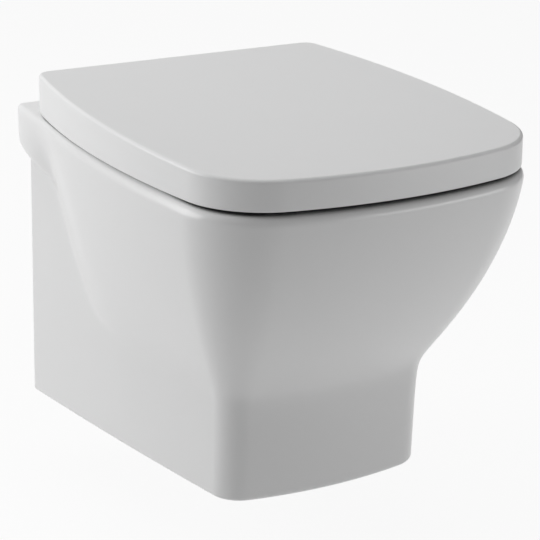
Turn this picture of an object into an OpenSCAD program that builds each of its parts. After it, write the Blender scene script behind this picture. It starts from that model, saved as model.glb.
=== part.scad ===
// Wall hung toilet: china pan with a boxed foot, seat ring, wrap-over lid and their hinge set.
// The origin is the middle of the two wall fixings, on the wall face. X runs to the right seen
// from the front, the front points to -Y and Z is up.

/* [Pan] */
// Widest width across the rim
rim_w = 364; // [350:1:380]
// Width of the rear ledge at the wall
ledge_w = 322; // [312:1:332]
// Wall face to the front of the rim
pan_d = 484; // [470:1:520]
// Distance of the widest place from the wall
widest_at = 262; // [240:1:280]
// Radius of the bowed front edge of the rim
rim_front_r = 486; // [420:1:600]
// Radius of the front corners of the rim
rim_corner_r = 83; // [70:1:95]
// Rounding of the rim's edge round the front
rim_edge_r = 10; // [6:0.5:12]
// Rounding of the rim's edge at the wall
ledge_edge_r = 5.5; // [4:0.5:8]
// Rim above the wall fixings
rim_h = 85; // [80:1:95]
// Rim to underside
body_h = 319; // [312:1:340]
// Thickness of the china
china_t = 13; // [11:0.5:15]

/* [Foot] */
// Width of the foot at the wall
foot_w = 306; // [285:1:308]
// Narrowing of each side of the foot at the wall, from the bottom to the ledge
foot_draft = 4.5; // [0:0.5:6]
// Width across the front corners of the foot
foot_front_w = 216; // [205:1:235]
// Wall face to the front corners of the foot
foot_corner_d = 353; // [340:1:365]
// How far the front of the foot bows out
foot_bow = 14; // [9:1:20]
// Radius of the front corners of the foot
foot_corner_r = 32; // [20:1:36]
// How far the front of the foot leans out towards its top
foot_lean = 5; // [0:1:12]
// Rounding of the bottom edge
foot_edge_r = 5.5; // [4:0.5:10]

/* [Ledge and belly] */
// Depth of the ledge's lower edge below the rim, at the wall
ledge_low = 48; // [45:1:56]
// Depth of the ledge's lower edge where the belly starts
belly_start = 78; // [70:1:88]
// Distance of the start of the belly from the wall
belly_start_at = 63; // [55:1:72]
// Depth of the crease between belly and foot
belly_low = 211; // [200:1:222]
// Distance from the wall at which the crease is at its lowest
belly_low_at = 207; // [195:1:220]
// Fullness of the bowl's profile round the front
bowl_power = 1.8; // [1.5:0.05:2.4]
// Fullness of the ledge's profile at the wall
wall_power = 9; // [6:0.5:12]

/* [Bowl] */
// Width of the rim's top face beside the bowl
rim_land = 48; // [44:1:54]
// Wall face to the back of the bowl's mouth
mouth_back = 125; // [120:1:135]
// Thickness of the flushing rim's lip
lip_t = 8; // [7:0.5:10]
// Height of the flushing rim's lip
lip_h = 32; // [28:1:38]
// Width of the water channel behind the lip
channel_w = 12; // [10:0.5:14]
// Thickness of the rim above the channel
rim_t = 14; // [12:0.5:16]
// Width of the sump at the bottom of the bowl
sump_w = 80; // [74:1:90]
// Front to back length of the sump
sump_d = 73; // [66:1:82]

/* [Trap] */
// Bore radius of the trap
trap_r = 28; // [26:0.5:30]
// Wall of the trap
trap_t = 8; // [7:0.5:10]
// Rise of the first leg, in degrees
trap_rise = 55; // [50:1:60]
// Fall of the second leg, in degrees
trap_fall = 45; // [40:1:50]
// Depth of the weir's centre below the wall fixings
weir_low = 60; // [56:1:64]
// Depth of the sump's centre below the wall fixings
dip_low = 166; // [162:1:168]

/* [Wall side] */
// Distance between the two wall fixings
stud_gap = 180; // [180:1:230]
// Radius of the holes for the wall fixings
stud_hole_r = 9; // [8.5:0.1:10]
// Radius of the bosses round the wall fixings
stud_boss_r = 21; // [18:0.5:24]
// Depth of the recess in the back
recess_d = 36; // [30:1:38]
// Thickness of the web behind the recess
web_t = 14; // [12:0.5:15]
// Flush inlet above the wall fixings
inlet_h = 35; // [33:0.5:36]
// Bore radius of the flush inlet
inlet_r = 27.5; // [26:0.5:28.5]
// Waste outlet below the wall fixings
outlet_low = 100; // [98:0.5:102]
// Outer radius of the waste outlet
outlet_r = 51; // [48:0.5:52]
// Bore radius of the waste outlet
outlet_bore_r = 44; // [40:0.5:45]
// Depth of the waste outlet's bore
outlet_bore_d = 28; // [20:1:32]

/* [Lid and seat] */
// Width of the lid
lid_w = 360; // [346:1:362]
// Wall face to the back edge of the lid
lid_back = 46; // [44:1:50]
// Wall face to the front of the lid
lid_d = 482; // [468:1:484]
// Height of the lid's back edge above the rim
lid_top = 42.5; // [41:0.5:46]
// Fall of the lid's top towards the front, in mm for each mm
lid_slope = 0.031; // [0.02:0.001:0.032]
// Gap between the lid's lower edge and the rim
lid_gap = 1.8; // [1.5:0.1:3]
// Wall of the lid
lid_t = 5; // [4.5:0.1:5.4]
// Rounding of the lid's top edge
lid_edge_r = 3.5; // [2:0.5:4]
// Rounding of the lid's lower back corner
lid_heel_r = 14; // [8:0.5:18]
// Clearance between the lid's wall and the seat
lid_clear = 3; // [2.5:0.5:4]
// Thickness of the seat ring
seat_t = 17; // [15:0.5:17.5]
// Gap between the seat ring and the rim
seat_gap = 4; // [3.5:0.5:4.5]
// Width of the opening in the seat ring
seat_hole_w = 226; // [214:1:236]
// Wall face to the back edge of the seat ring
seat_back = 84; // [82:1:88]
// Wall face to the back of the seat ring's opening
seat_hole_back = 156; // [150:1:164]
// Wall face to the front of the seat ring's opening
seat_hole_front = 410; // [400:1:416]

/* [Hinges] */
// Distance between the two seat bolts
hinge_gap = 155; // [145:1:165]
// Wall face to the seat bolts
bolt_at = 62; // [61:0.5:64]
// Wall face to the hinge axis
axis_at = 37; // [36:0.5:38]
// Height of the hinge axis above the rim
axis_h = 27.5; // [27:0.5:29]
// Radius of the hinge pins
pin_r = 4; // [3:0.25:4.5]
// Radius of the knuckles
knuckle_r = 9; // [8.5:0.25:9.5]
// Width of the hinge posts
post_w = 16; // [14:1:18]
// Width of the seat knuckles
seat_knuckle_w = 24; // [20:1:28]
// Width of the lid knuckles
lid_knuckle_w = 19; // [16:1:22]
// Radius of the damper cartridges
damper_r = 6.5; // [6:0.25:6.75]
// Running clearance of a pin in a knuckle
run_c = 0.05; // [0.03:0.01:0.08]
// Side clearance between knuckles and posts
side_c = 0.4; // [0.3:0.1:0.6]

/* [Fixings] */
// Radius of the bolt clearance in sleeves, washers and nuts
stud_c_r = 6.2; // [6.1:0.05:6.5]
// Radius of the seat bolts
seat_bolt_r = 3; // [2.5:0.25:3.5]
// Radius of the holes for the seat bolts
seat_hole_r = 7.5; // [7:0.25:8]
// Radius of the rubber buffers
buffer_r = 8; // [6:0.5:9]
// Rest clearance between a buffer and what it meets
rest_c = 0.3; // [0.2:0.1:0.4]

/* [Hidden] */
$fn = 48;
sides = [-1, 1];

china = "whitesmoke";
plastic = "gainsboro";
steel = "silver";
soft = "dimgray";

web_front = recess_d + web_t;
hinge_x = hinge_gap / 2;
axis_z = rim_h + axis_h;
lid_top_z = rim_h + lid_top;
skirt_z = rim_h + lid_gap;
seat_z = rim_h + seat_gap;
seat_top_z = seat_z + seat_t;

// Radius of a shallow arc that is widest at one distance and narrower by "drop" at another
function side_radius(run, drop) = (run * run + drop * drop) / (2 * drop);

// A plan outline is [half width, widest at, side radius, front, front radius, corner radius]
rim_side_r = side_radius(widest_at, (rim_w - ledge_w) / 2);
rim_plan = [rim_w / 2, widest_at, rim_side_r, pan_d, rim_front_r, rim_corner_r];
lid_plan = [lid_w / 2, widest_at, 1080, lid_d, rim_front_r - (pan_d - lid_d), rim_corner_r - 2];
foot_ahead = 580;
foot_side_r = (pow(foot_corner_d + foot_ahead, 2) - pow(foot_ahead, 2)) / (foot_w - foot_front_w);
foot_half = foot_w / 2 + pow(foot_ahead, 2) / (2 * foot_side_r);
foot_front_r = pow(foot_front_w / 2, 2) / (2 * foot_bow);
foot_plan = [foot_half, -foot_ahead, foot_side_r, foot_corner_d + foot_bow, foot_front_r, foot_corner_r];
mouth_plan = [rim_w / 2 - rim_land, widest_at + 8, 700, pan_d - rim_land + 2, 330, 84];
mouth_back_r = 62;
sump_front = 308;
sump_depth = rim_h + dip_low + trap_r + 1.5;
sump_plan = [sump_w / 2, sump_front - sump_d / 2, 300, sump_front, 90, 30];
sump_back_r = 26;

// A plan outline drawn in by e on all sides
function inset(p, e) = [p[0] - e, p[1], p[2] - e, p[3] - e, p[4] - e, p[5] - e];

// Centre of the circle that lies a from point s and b from point f, on the front right
function meet(s, a, f, b) = let(
    d = norm(f - s),
    u = (f - s) / d,
    k = (a * a - b * b + d * d) / (2 * d),
    h = sqrt(max(a * a - k * k, 0)))
    s + u * k - [-u[1], u[0]] * h;

function arc(c, r, a1, a2, n, first, ease = 1) =
    [for (i = [first:n]) let(a = a1 + (a2 - a1) * pow(i / n, ease)) c + r * [cos(a), sin(a)]];

// Right half of a plan outline, from its back edge round to the middle of its front
function half_plan(p, back, back_r, counts, ease = 1) = let(
    s = [p[0] - p[2], -p[1]],
    f = [0, p[4] - p[3]],
    c = meet(s, p[2] - p[5], f, p[4] - p[5]),
    heel_y = -back - back_r,
    heel = [s[0] + sqrt(pow(p[2] - back_r, 2) - pow(heel_y - s[1], 2)), heel_y],
    a0 = atan2(heel[1] - s[1], heel[0] - s[0]),
    a1 = atan2(c[1] - s[1], c[0] - s[0]),
    a2 = atan2(c[1] - f[1], c[0] - f[0]))
    concat(
        back_r > 0 ? arc(heel, back_r, 90, a0, counts[0], 0) : [heel],
        arc(s, p[2], a0, a1, counts[1], 1, ease),
        arc(c, p[5], a1, a2, counts[2], 1),
        arc(f, p[4], a2, -90, counts[3], 1));

// Full ring from a right half: down the left side and back up the right
function ring(h) = concat(
    [for (p = h) len(p) > 2 ? [-p[0], p[1], p[2]] : [-p[0], p[1]]],
    [for (i = [len(h) - 2:-1:0]) h[i]]);

function lift(r, z) = [for (p = r) [p[0], p[1], z]];
function mix(a, b, w) = a + (b - a) * w;
function flat(rows) = [for (row = rows) for (p = row) p];

// Skin over rings that climb, with both ends closed
module skin(rings) {
    n = len(rings[0]);
    m = len(rings);
    walls = [for (j = [0:m - 2], i = [0:n - 1], half = [0, 1])
        let(a = j * n + i, b = j * n + (i + 1) % n)
        half == 0 ? [a, a + n, b + n] : [a, b + n, b]];
    low = [for (i = [0:n - 1]) i];
    high = [for (i = [n - 1:-1:0]) (m - 1) * n + i];
    polyhedron(flat(rings), concat([low], walls, [high]), convexity = 8);
}

// Closed loop of rings, as for a seat ring
module loop_skin(rings) {
    n = len(rings[0]);
    m = len(rings);
    walls = [for (j = [0:m - 1], i = [0:n - 1], half = [0, 1])
        let(a = j * n + i, b = j * n + (i + 1) % n, up = ((j + 1) % m) * n - j * n)
        half == 0 ? [a, a + up, b + up] : [a, b + up, b]];
    polyhedron(flat(rings), walls, convexity = 8);
}

body_counts = [1, 14, 7, 5];
body_ease = 1.35;
flare_run = 60;
bowl_counts = [5, 6, 6, 4];

// Depth of the crease under ledge and belly, at a distance from the wall
function crease(d) =
    d < belly_start_at ? mix(ledge_low, belly_start, d / belly_start_at) :
    d < belly_low_at ? belly_start + (belly_low - belly_start)
        * sqrt(1 - pow((belly_low_at - d) / (belly_low_at - belly_start_at), 2)) :
    belly_low;

// Share of the way from foot to rim outline, for a distance from the wall and a depth
function flare(d, depth) = let(
    front = min(max((d - belly_start_at) / (belly_low_at + flare_run - belly_start_at), 0), 1),
    slope = 0.2 * front,
    power = mix(wall_power, bowl_power, pow(front, 0.5)),
    v = depth / crease(d),
    g = 1 - slope * v - (1 - slope) * pow(v, power),
    soft_k = mix(0.03, 0.1, front))
    (g + sqrt(g * g + soft_k * soft_k)) / (1 + sqrt(1 + soft_k * soft_k));

function edge_r(d) = mix(ledge_edge_r, rim_edge_r, min(1, d / widest_at));

// Outline of the pan drawn in by e. Rows follow the crease: from 0 at the rim's edge to 1 at the
// crease and 2 above the bottom edge. A depth given outright makes a level row, and a share of the
// edge rounding (1 at its foot, 0 at its top) makes a row on the rim's rounded edge.
function body_row(row, e, back = 0, level = undef, edge = undef) = let(
    low_plan = [foot_plan[0] - e, foot_plan[1], foot_plan[2] - e, foot_plan[3] - e, foot_plan[4] - e,
        foot_plan[5] - e * 0.6],
    low = half_plan(low_plan, back, 0, body_counts, body_ease),
    high = half_plan(inset(rim_plan, e), back, 0, body_counts, body_ease),
    edge_in = is_undef(edge) ? high : half_plan(inset(rim_plan, e + rim_edge_r), back, 0, body_counts, body_ease),
    drawn = is_undef(edge) ? 0 : 1 - sqrt(max(0, 1 - (1 - edge) * (1 - edge))))
    ring([for (i = [0:len(low) - 1]) let(
        d = -low[i][1],
        depth = !is_undef(edge) ? edge * edge_r(d) : !is_undef(level) ? level
            : row < 1 ? mix(edge_r(d), crease(d), row)
            : mix(crease(d), body_h - foot_edge_r, row - 1),
        ahead = min(1, d / foot_corner_d),
        lean = foot_lean * min(1, (body_h - depth) / (body_h - belly_low))
            * min(1, max(0, d - back) / (foot_corner_d - back)),
        draft = foot_draft * (body_h - depth) / (body_h - ledge_low) * (1 - ahead),
        foot = low[i] - [min(draft, low[i][0]), lean],
        rim = mix(high[i], edge_in[i], drawn * edge_r(d) / rim_edge_r),
        p = mix(foot, rim, flare(d, depth)))
        [p[0], p[1], rim_h - depth]]);

function quarter(r, t) = r - sqrt(max(0, r * r - (r - t) * (r - t)));

belly_rows = [0.07, 0.16, 0.26, 0.36, 0.46, 0.55, 0.63, 0.7, 0.76, 0.81, 0.855, 0.895, 0.93, 0.965,
    1, 1.03, 1.07, 1.13, 1.25, 1.55];

module pan_outside() {
    edge = [for (a = [0:22.5:90]) 1 - cos(a)];
    skin(concat(
        [for (k = edge) body_row(0, quarter(foot_edge_r, k * foot_edge_r), 0, body_h - k * foot_edge_r)],
        [for (i = [len(belly_rows) - 1:-1:0]) body_row(belly_rows[i], 0)],
        [for (i = [len(edge) - 1:-1:0]) body_row(0, 0, 0, undef, edge[i])]));
}

// Space for pipes and fixings in front of the web, open below
module underside_space() {
    rows = [1.4, 1.15, 1, 0.93, 0.85, 0.75, 0.6, 0.42, 0.25];
    skin(concat(
        [body_row(0, china_t, web_front, body_h + 1), body_row(0, china_t, web_front, body_h - foot_edge_r)],
        [for (t = rows) body_row(t, china_t, web_front)],
        [body_row(0, china_t, web_front, rim_t + 8)]));
}

// Outline of the bowl at a share of its depth, widened by e
function bowl_ring(s, e, depth) = let(
    top = inset(mouth_plan, -lip_t - channel_w - e),
    low = inset(sump_plan, -e),
    top_back = mouth_back - lip_t - channel_w - e,
    low_back = sump_front - sump_d - e,
    high_half = half_plan(top, top_back, mouth_back_r, bowl_counts),
    low_half = half_plan(low, low_back, sump_back_r, bowl_counts),
    w = pow(s, 1.15),
    w_back = pow(s, 0.75))
    lift(ring([for (i = [0:len(low_half) - 1])
        let(w_i = mix(w_back, w, min(1, max(0, (-high_half[i][1] - top_back) / 230))))
        mix(high_half[i], low_half[i], w_i)]), rim_h - depth);

module bowl_space(e, bottom, roof) {
    channel_low = rim_t + lip_h;
    skin(concat(
        [bowl_ring(1, e - 14, sump_depth + bottom), bowl_ring(1, e - 5, sump_depth + bottom - 3),
            bowl_ring(0.985, e, sump_depth + bottom - 11)],
        [for (s = [0.9:-0.1:0.1]) bowl_ring(s, e, channel_low + s * (sump_depth - channel_low))],
        [bowl_ring(0, e, channel_low), bowl_ring(0, e, roof)]));
}

function mouth_ring(e, depth) =
    lift(ring(half_plan(inset(mouth_plan, e), mouth_back + e, mouth_back_r, bowl_counts)), rim_h - depth);

module mouth_space() {
    edge_r = 8;
    skin(concat(
        [mouth_ring(0, rim_t + 1), mouth_ring(0, edge_r)],
        [for (a = [22.5:22.5:90]) mouth_ring(-edge_r * (1 - cos(a)), edge_r * (1 - sin(a)))],
        [mouth_ring(-edge_r, -1)]));
}

module flushing_lip() {
    difference() {
        skin([mouth_ring(-lip_t, rim_t + lip_h), mouth_ring(-lip_t, rim_t - 2)]);
        skin([mouth_ring(0, rim_t + lip_h + 1), mouth_ring(0, rim_t - 3)]);
    }
}

// Centre line of the trap in the plane of Y and Z, from the sump to the outlet
dip_bend_r = 50;
weir_bend_r = 42;
out_bend_r = 40;
outlet_start = 42;
rise_z = -dip_low + dip_bend_r * (1 - cos(trap_rise));
crest_z = -weir_low - weir_bend_r * (1 - cos(trap_rise));
brow_z = -weir_low - weir_bend_r * (1 - cos(trap_fall));
fall_z = -outlet_low + out_bend_r * (1 - cos(trap_fall));
fall_run = out_bend_r * sin(trap_fall) + (brow_z - fall_z) / tan(trap_fall);
weir_y = -outlet_start - fall_run - weir_bend_r * sin(trap_fall);
rise_run = (crest_z - rise_z) / tan(trap_rise);
dip_y = weir_y - weir_bend_r * sin(trap_rise) - rise_run - dip_bend_r * sin(trap_rise);
trap_path = concat(
    [[dip_y - 24, -dip_low]],
    [for (a = [0:trap_rise / 4:trap_rise + 0.1])
        [dip_y + dip_bend_r * sin(a), -dip_low + dip_bend_r * (1 - cos(a))]],
    [for (a = [trap_rise:-(trap_rise + trap_fall) / 8:-trap_fall - 0.1])
        [weir_y - weir_bend_r * sin(a), -weir_low - weir_bend_r * (1 - cos(a))]],
    [for (a = [trap_fall:-trap_fall / 3:-0.1])
        [-outlet_start - out_bend_r * sin(a), -outlet_low + out_bend_r * (1 - cos(a))]]);

module trap_tube(r, shorter) {
    n = len(trap_path);
    path = [for (i = [0:n - 1]) i == 0 ? trap_path[0] + [shorter, 0] : trap_path[i]];
    around = 18;
    skin([for (i = [0:n - 1])
        let(t = path[min(i + 1, n - 1)] - path[max(i - 1, 0)], u = t / norm(t))
        [for (k = [0:around - 1]) let(a = 360 * k / around, c = r * sin(a))
            [r * cos(a), path[i][0] + u[1] * c, path[i][1] - u[0] * c]]]);
}

module recess() {
    round_r = 22;
    low = -(body_h - rim_h) + china_t + 3;
    high = rim_h - rim_t - 8;
    half = foot_w / 2 - china_t - 1;
    hull() {
        for (x = [round_r - half, half - round_r], z = [low + round_r, high - round_r])
            translate([x, 1, z]) rotate([90, 0, 0]) cylinder(h = recess_d + 1, r = round_r, $fn = 32);
    }
}

module along_y(x, z, from, to, r) {
    translate([x, from, z]) rotate([90, 0, 0]) cylinder(h = from - to, r = r);
}

feed_r = 15;
feed_z = rim_h - rim_t - feed_r - 2;
inlet_front = 60;

// The slip-cast body in one piece, before its holes are drilled
module casting() {
    difference() {
        union() {
            difference() {
                pan_outside();
                recess();
                difference() {
                    underside_space();
                    bowl_space(china_t + 2, china_t, rim_t - 4);
                    trap_tube(trap_r + trap_t, 12);
                    along_y(0, feed_z, 1 - web_front, -mouth_back + 20, feed_r + 9);
                    along_y(0, inlet_h, 1 - web_front, -inlet_front - 8, inlet_r + 8);
                }
            }
        }
        difference() {
            bowl_space(0, 0, rim_t);
            flushing_lip();
        }
        mouth_space();
        trap_tube(trap_r, 0);
        along_y(0, feed_z, -inlet_front + 1, -mouth_back + 8, feed_r);
    }
}

module pan() {
    color(china) difference() {
        union() {
            resize([0, 0, 0]) casting();
            for (side = sides)
                along_y(side * stud_gap / 2, 0, 0, -recess_d - 2, stud_boss_r);
            along_y(0, inlet_h, -4, -recess_d - 2, inlet_r + 9);
            along_y(0, -outlet_low, -3, -recess_d - 2, outlet_r);
        }
        for (side = sides) {
            along_y(side * stud_gap / 2, 0, 1, -web_front - 4, stud_hole_r);
            translate([side * hinge_x, -bolt_at, rim_h - rim_t - 12])
                cylinder(h = rim_t + 14, r = seat_hole_r);
        }
        along_y(0, inlet_h, 1, -inlet_front, inlet_r);
        along_y(0, -outlet_low, 1, -outlet_bore_d, outlet_bore_r);
        along_y(0, -outlet_low, 0, -outlet_start - 0.5, trap_r);
    }
}

flange_r = 15;

module wall_sleeves() {
    color(plastic) for (side = sides) difference() {
        union() {
            along_y(side * stud_gap / 2, 0, -web_front, -web_front - 3, flange_r);
            along_y(side * stud_gap / 2, 0, 0, -web_front - 1, stud_hole_r - 0.2);
        }
        along_y(side * stud_gap / 2, 0, 1, -web_front - 4, stud_c_r);
    }
}

module wall_washers() {
    color(steel) for (side = sides) difference() {
        along_y(side * stud_gap / 2, 0, -web_front - 3, -web_front - 5.5, 14);
        along_y(side * stud_gap / 2, 0, -web_front - 2, -web_front - 6, stud_c_r);
    }
}

module wall_nuts() {
    across = 19;
    color(steel) for (side = sides) difference() {
        translate([side * stud_gap / 2, -web_front - 5.5, 0]) rotate([90, 0, 0])
            cylinder(h = 10, d = across / cos(30), $fn = 6);
        along_y(side * stud_gap / 2, 0, -web_front - 5, -web_front - 16, stud_c_r);
    }
}

module along_x(x0, x1, y, z, r) {
    translate([x0, y, z]) rotate([0, 90, 0]) cylinder(h = x1 - x0, r = r);
}

base_t = 3.5;
base_r = 20;

// Hinge base on the ledge: a plate held by the seat bolt, with a post at its back for the pin
module hinge_base(side) {
    x0 = side * hinge_x - post_w / 2;
    color(steel) difference() {
        union() {
            translate([side * hinge_x, -bolt_at, rim_h]) cylinder(h = base_t, r = base_r);
            translate([x0, -bolt_at, rim_h]) cube([post_w, bolt_at - axis_at + 8, base_t]);
            translate([x0, -axis_at - 6, rim_h + base_t / 2]) cube([post_w, 12, axis_h - base_t / 2]);
            along_x(x0, x0 + post_w, -axis_at, axis_z, knuckle_r);
        }
        along_x(x0 - 1, x0 + post_w + 1, -axis_at, axis_z, pin_r);
        translate([side * hinge_x, -bolt_at, rim_h - 1]) cylinder(h = base_t + 2, r = seat_bolt_r + 0.2);
    }
}

module hinge_base_left() { hinge_base(-1); }
module hinge_base_right() { hinge_base(1); }

inner_x = hinge_x - post_w / 2 - side_c;
outer_x = hinge_x + post_w / 2 + side_c;

module hinge_pin(side) {
    from = inner_x - seat_knuckle_w;
    to = outer_x + lid_knuckle_w;
    color(steel) if (side > 0) along_x(from, to, -axis_at, axis_z, pin_r);
    else along_x(-to, -from, -axis_at, axis_z, pin_r);
}

module hinge_pin_left() { hinge_pin(-1); }
module hinge_pin_right() { hinge_pin(1); }

nut_drop = 30;
nut_h = 12;
sleeve_drop = 18;
nut_z = rim_h - rim_t - nut_drop;

module seat_bolts() {
    color(steel) for (side = sides) translate([side * hinge_x, -bolt_at, 0]) {
        translate([0, 0, nut_z + 2]) cylinder(h = rim_h + base_t - nut_z - 2, r = seat_bolt_r);
        translate([0, 0, rim_h + base_t]) difference() {
            cylinder(h = 5, r = 5.5);
            translate([0, 0, 2]) cylinder(h = 4, r = 2.6, $fn = 6);
        }
    }
}

module expanding_sleeves() {
    low = rim_h - rim_t - sleeve_drop;
    color(soft) for (side = sides) translate([side * hinge_x, -bolt_at, low]) difference() {
        cylinder(h = rim_h - low, r = seat_hole_r - 0.3);
        translate([0, 0, -1]) cylinder(h = rim_h - low + 2, r = seat_bolt_r + 0.1);
    }
}

module cone_nuts() {
    color(plastic) for (side = sides) translate([side * hinge_x, -bolt_at, nut_z]) difference() {
        cylinder(h = nut_h, r = seat_hole_r - 0.4);
        translate([0, 0, -1]) cylinder(h = nut_h + 2, r = seat_bolt_r + 0.05);
    }
}

seat_plan = inset(lid_plan, lid_t + lid_clear);
seat_hole_plan = [seat_hole_w / 2, widest_at + 16, 560, seat_hole_front, 250, 78];
loop_counts = [5, 6, 6, 4];
seat_hole_back_r = 58;

function seat_out(e, z) = lift(ring(half_plan(inset(seat_plan, e), seat_back + e, 30, loop_counts)), z);
function seat_in(e, z) = lift(ring(half_plan(inset(seat_hole_plan, -e), seat_hole_back - e, seat_hole_back_r, loop_counts)), z);

// Seat ring: flat below, rounded outside and sloping gently to the opening above
module seat_body() {
    out_r = 6;
    in_r = 9;
    loop_skin(concat(
        [seat_in(1.5, seat_z), seat_out(1.5, seat_z), seat_out(0, seat_z + 1.5)],
        [for (a = [0:30:90]) seat_out(out_r * (1 - cos(a)), seat_top_z - out_r * (1 - sin(a)))],
        [seat_out(20, seat_top_z)],
        [for (a = [90:-22.5:0]) seat_in(in_r * (1 - cos(a)), seat_top_z - 1 - in_r * (1 - sin(a)))],
        [seat_in(0, seat_z + 1.5)]));
}

plate_t = 5;
plate_len = 40;
screw_at = [12, 28];

function seat_knuckle_x(side) = side > 0 ? inner_x - seat_knuckle_w : -inner_x;
function lid_knuckle_x(side) = side > 0 ? outer_x : -outer_x - lid_knuckle_w;

module seat_ring() {
    color(china) difference() {
        seat_body();
        for (side = sides) {
            translate([seat_knuckle_x(side) - 0.2, -seat_back - plate_len - 0.2, seat_z - 1])
                cube([seat_knuckle_w + 0.4, plate_len + 3, plate_t + 1.1]);
            for (y = screw_at)
                translate([seat_knuckle_x(side) + seat_knuckle_w / 2, -seat_back - y, seat_z])
                    cylinder(h = plate_t + 8.2, r = 2);
        }
    }
}

// Seat knuckle: a barrel on the pin, with a plate that lies in the underside of the seat
module seat_knuckle(side, bore) {
    x0 = seat_knuckle_x(side);
    y1 = -seat_back - plate_len;
    y2 = -seat_back + 0.4;
    profile = [[y1, seat_z], [y2 + 6, seat_z], [y2 + 13, axis_z - knuckle_r], [-axis_at, axis_z - knuckle_r],
        [-axis_at, axis_z + 3], [y2 + 9, axis_z + 3], [y2, axis_z - 6], [y2, seat_z + plate_t],
        [y1, seat_z + plate_t]];
    color(plastic) difference() {
        union() {
            translate([x0, 0, 0]) rotate([90, 0, 90]) linear_extrude(seat_knuckle_w) polygon(profile);
            along_x(x0, x0 + seat_knuckle_w, -axis_at, axis_z, knuckle_r);
        }
        along_x(x0 - 1, x0 + seat_knuckle_w + 1, -axis_at, axis_z, bore);
        for (y = screw_at)
            translate([x0 + seat_knuckle_w / 2, -seat_back - y, seat_z - 1]) cylinder(h = plate_t + 2, r = 2.2);
    }
}

module seat_knuckle_left() { seat_knuckle(-1, damper_r + run_c); }
module seat_knuckle_right() { seat_knuckle(1, pin_r + run_c); }

module seat_knuckle_screws() {
    color(steel) for (side = sides, y = screw_at)
        translate([seat_knuckle_x(side) + seat_knuckle_w / 2, -seat_back - y, seat_z - 2]) {
            cylinder(h = 2, r = 3.6);
            cylinder(h = plate_t + 10, r = 1.95);
        }
}

module damper(x0, w) {
    color(soft) difference() {
        along_x(x0, x0 + w, -axis_at, axis_z, damper_r);
        along_x(x0 - 1, x0 + w + 1, -axis_at, axis_z, pin_r + run_c);
    }
}

module seat_damper() { damper(seat_knuckle_x(-1), seat_knuckle_w); }
module lid_damper() { damper(lid_knuckle_x(1), lid_knuckle_w); }

buffer_at = [[150, -170], [149, -380]];

module seat_buffers() {
    color(soft) for (side = sides, p = buffer_at)
        translate([side * p[0], p[1], rim_h + rest_c]) cylinder(h = seat_gap - rest_c, r = buffer_r);
}

// Height of the lid's top at a place, which falls towards the front
function lid_z(y) = lid_top_z + lid_slope * (y + lid_back);

// Distance that the lower back corner of the lid is rounded off at a height
function heel(z) = let(low = lid_heel_r - (z - skirt_z))
    low > 0 ? lid_heel_r - sqrt(max(0, pow(lid_heel_r, 2) - low * low)) : 0;

lid_counts = [5, 7, 7, 5];

// Ring of the lid drawn in by e, a height above the lower edge or below the sloping top
function lid_ring(e, up, from_top) = [for (p = ring(half_plan(inset(lid_plan, e), lid_back + e, 22 - e * 0.7,
    lid_counts))) let(z = from_top ? lid_z(p[1]) - up : skirt_z + up)
    [p[0], min(p[1], -lid_back - e - heel(z)), z]];

// Lid: a shallow cup upside down, with its lower back corner rounded
module lid_body() {
    r = lid_edge_r;
    skin(concat(
        [lid_ring(lid_t, lid_t, true), lid_ring(lid_t, 14, false), lid_ring(lid_t, 5, false),
            lid_ring(lid_t - 1, 0, false), lid_ring(1, 0, false), lid_ring(0, 1, false),
            lid_ring(0, 6, false), lid_ring(0, 14, false)],
        [for (a = [0:22.5:90]) lid_ring(r * (1 - cos(a)), r * (1 - sin(a)), true)]));
}

module lid() {
    slot_in = inner_x - seat_knuckle_w - 3;
    slot_out = outer_x + lid_knuckle_w + 3;
    slot_d = lid_t + lid_heel_r + 3;
    color(china) difference() {
        lid_body();
        for (side = sides) {
            translate([side > 0 ? slot_in : -slot_out, -lid_back - slot_d, skirt_z - 1])
                cube([slot_out - slot_in, slot_d + 1, lid_z(-lid_back - lid_t) - lid_t - skirt_z + 1]);
            for (y = screw_at)
                translate([lid_knuckle_x(side) + lid_knuckle_w / 2, -lid_back - lid_t - 6 - y, lid_z(-90) - 12])
                    cylinder(h = 9, r = 1.6);
        }
    }
}

// Lid knuckle: a barrel on the pin, with a plate that lies under the lid
module lid_knuckle(side, bore) {
    x0 = lid_knuckle_x(side);
    y1 = -lid_back - lid_t - plate_len;
    top1 = lid_z(y1) - lid_t - rest_c;
    top2 = lid_z(-lid_back) - lid_t - rest_c;
    profile = [[y1, top1 - plate_t], [-lid_back - 2, top1 - plate_t], [-axis_at, axis_z - knuckle_r],
        [-axis_at, axis_z + knuckle_r], [-axis_at - 4, top2 - 0.9], [-lid_back, top2], [y1, top1]];
    color(plastic) difference() {
        union() {
            translate([x0, 0, 0]) rotate([90, 0, 90]) linear_extrude(lid_knuckle_w) polygon(profile);
            along_x(x0, x0 + lid_knuckle_w, -axis_at, axis_z, knuckle_r);
        }
        along_x(x0 - 1, x0 + lid_knuckle_w + 1, -axis_at, axis_z, bore);
        for (y = screw_at)
            translate([x0 + lid_knuckle_w / 2, -lid_back - lid_t - 6 - y, top1 - plate_t - 3])
                cylinder(h = plate_t + 8, r = 1.8);
    }
}

module lid_knuckle_left() { lid_knuckle(-1, pin_r + run_c); }
module lid_knuckle_right() { lid_knuckle(1, damper_r + run_c); }

module lid_knuckle_screws() {
    low = lid_z(-lid_back - lid_t - plate_len) - lid_t - rest_c - plate_t;
    color(steel) for (side = sides, y = screw_at)
        translate([lid_knuckle_x(side) + lid_knuckle_w / 2, -lid_back - lid_t - 6 - y, low - 2]) {
            cylinder(h = 2, r = 3.2);
            cylinder(h = plate_t + 4, r = 1.55);
        }
}

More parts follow.
